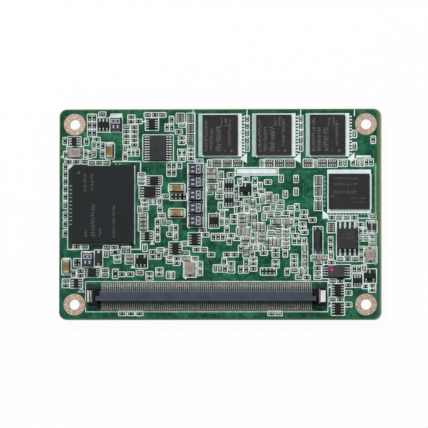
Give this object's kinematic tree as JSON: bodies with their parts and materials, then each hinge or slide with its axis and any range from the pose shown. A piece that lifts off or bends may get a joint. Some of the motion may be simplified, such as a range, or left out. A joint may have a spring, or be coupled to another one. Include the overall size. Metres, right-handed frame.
{
  "type": "system on module",
  "caption": "Small computer board with soldered memory, flash drive and processor, four plated mounting holes and a long board-to-board connector with a raised mating ridge.",
  "frame": {"origin": "centre of the board's outline in plan, on the plane that the part rests on", "axes": "+X along the long side, +Y towards the row of memory chips, +Z out of the connector side"},
  "size_m": [0.084, 0.055, 0.0092],
  "materials": {
    "solder_mask": "green solder mask over a glass-epoxy board",
    "copper": "bare pinkish copper",
    "connector_plastic": "fine matt dark grey moulding",
    "contact_metal": "tinned",
    "bright_metal": "bright tinned sheet",
    "flash_moulding": "matt charcoal moulding",
    "memory_moulding": "matt dark grey moulding",
    "package_base": "green laminate",
    "solder": "reflowed solder",
    "chip_moulding": "matt black moulding",
    "tinned_leads": "tinned",
    "tantalum_moulding": "matt slate moulding",
    "brown_ceramic": "brown ceramic",
    "tinned_ends": "tinned",
    "tan_ceramic": "tan ceramic",
    "resistor_coat": "black overcoat",
    "array_coat": "brownish black overcoat",
    "dark_ceramic": "dark ceramic base",
    "lid_metal": "satin plated lid",
    "silicon": "polished silicon",
    "inductor_powder": "pressed grey powder"
  },
  "bodies": {
    "root": {"circuit_board": "solder_mask", "hole_rings": "copper", "connector_housing": "connector_plastic", "contact_row_upper": "contact_metal", "contact_row_lower": "contact_metal", "connector_hold_downs": "bright_metal", "flash_drive_package": "flash_moulding", "flash_drive_carrier": "package_base", "flash_drive_balls": "solder", "memory_chip_1": "memory_moulding", "memory_chip_2": "memory_moulding", "memory_chip_3": "memory_moulding", "memory_chip_4": "memory_moulding", "memory_carriers": "package_base", "memory_balls": "solder", "buffer_chip": "chip_moulding", "buffer_chip_leads": "tinned_leads", "boot_memory": "chip_moulding", "boot_memory_leads": "tinned_leads", "monitor_chip": "chip_moulding", "monitor_chip_leads": "tinned_leads", "translator_chips": "chip_moulding", "translator_chip_leads": "tinned_leads", "small_chips": "chip_moulding", "small_chip_leads": "tinned_leads", "power_switches": "chip_moulding", "power_switch_leads": "tinned_leads", "tantalum_capacitors": "tantalum_moulding", "tantalum_straps": "tinned_leads", "large_capacitors": "brown_ceramic", "large_capacitor_ends": "tinned_ends", "medium_capacitors": "tan_ceramic", "medium_capacitor_ends": "tinned_ends", "small_capacitors": "tan_ceramic", "small_capacitor_ends": "tinned_ends", "chip_resistors": "resistor_coat", "chip_resistor_ends": "tinned_ends", "resistor_arrays": "array_coat", "resistor_array_ends": "tinned_ends", "diodes": "chip_moulding", "diode_leads": "tinned_leads", "crystal_bases": "dark_ceramic", "crystal_lids": "lid_metal", "watch_crystal": "chip_moulding", "watch_crystal_leads": "tinned_leads", "processor_base": "package_base", "processor_die": "silicon", "processor_balls": "solder", "lower_memory_chips": "memory_moulding", "power_inductors": "inductor_powder", "inductor_terminals": "tinned_leads", "power_controller": "chip_moulding", "power_controller_pads": "tinned_leads", "network_controller": "chip_moulding", "network_controller_pads": "tinned_leads", "lower_capacitors": "tan_ceramic", "lower_capacitor_ends": "tinned_ends"}
  },
  "joints": []
}
